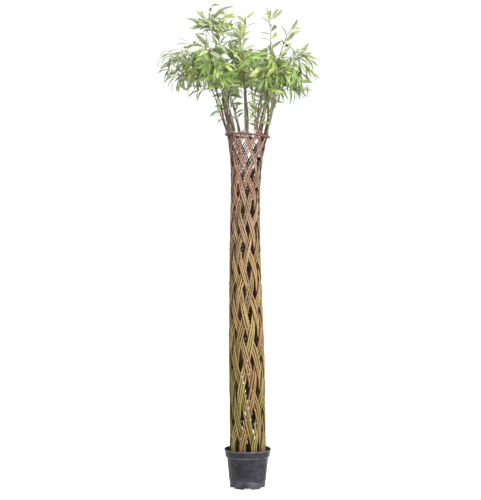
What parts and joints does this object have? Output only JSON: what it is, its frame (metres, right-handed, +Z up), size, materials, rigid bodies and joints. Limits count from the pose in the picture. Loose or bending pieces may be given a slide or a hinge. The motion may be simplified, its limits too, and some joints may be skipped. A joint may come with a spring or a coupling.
{
  "type": "potted braided willow",
  "caption": "Living willow rods woven into a tall slender open column, tied by a ring near the top, with a leafy crown of shoots above it and a round plastic nursery pot below.",
  "frame": {"origin": "middle of the pot's flat underside, on the ground", "axes": "+Z straight up along the woven column; the side the plant is seen from is -Y, with +X to the right of it"},
  "size_m": [0.7583, 0.5968, 2.2683],
  "materials": {
    "pot": "dusty satin black plastic",
    "soil": "moist bark compost",
    "rod_bark": "smooth olive to red-brown willow bark",
    "young_bark": "smooth red-brown young willow bark",
    "leaves": "soft green willow leaves, paler beneath"
  },
  "bodies": {
    "root": {"nursery_pot": "pot", "potting_soil": "soil", "willow_strand_right_01": "rod_bark", "willow_strand_right_02": "rod_bark", "willow_strand_right_03": "rod_bark", "willow_strand_right_04": "rod_bark", "willow_strand_right_05": "rod_bark", "willow_strand_right_06": "rod_bark", "willow_strand_right_07": "rod_bark", "willow_strand_right_08": "rod_bark", "willow_strand_right_09": "rod_bark", "willow_strand_left_01": "rod_bark", "willow_strand_left_02": "rod_bark", "willow_strand_left_03": "rod_bark", "willow_strand_left_04": "rod_bark", "willow_strand_left_05": "rod_bark", "willow_strand_left_06": "rod_bark", "willow_strand_left_07": "rod_bark", "willow_strand_left_08": "rod_bark", "willow_strand_left_09": "rod_bark", "tie_ring_outer": "young_bark", "tie_ring_inner": "young_bark", "shoot_left": "young_bark", "shoot_front_left": "young_bark", "shoot_front_right": "young_bark", "shoot_right": "young_bark", "shoot_back_right": "young_bark", "shoot_back_left": "young_bark", "shoot_centre": "young_bark", "shoot_right_centre": "young_bark", "shoot_top_left": "young_bark", "shoot_top_front": "young_bark", "shoot_top_back": "young_bark", "shoot_top_right": "young_bark", "shoot_tip_right": "young_bark", "leaf_mass_left": "leaves", "leaf_mass_front_left": "leaves", "leaf_mass_front_right": "leaves", "leaf_mass_right": "leaves", "leaf_mass_back_right": "leaves", "leaf_mass_back_left": "leaves", "leaf_mass_centre": "leaves", "leaf_mass_right_centre": "leaves", "leaf_mass_top_left": "leaves", "leaf_mass_top_front": "leaves", "leaf_mass_top_back": "leaves", "leaf_mass_top_right": "leaves", "leaf_mass_tip_right": "leaves"}
  },
  "joints": []
}
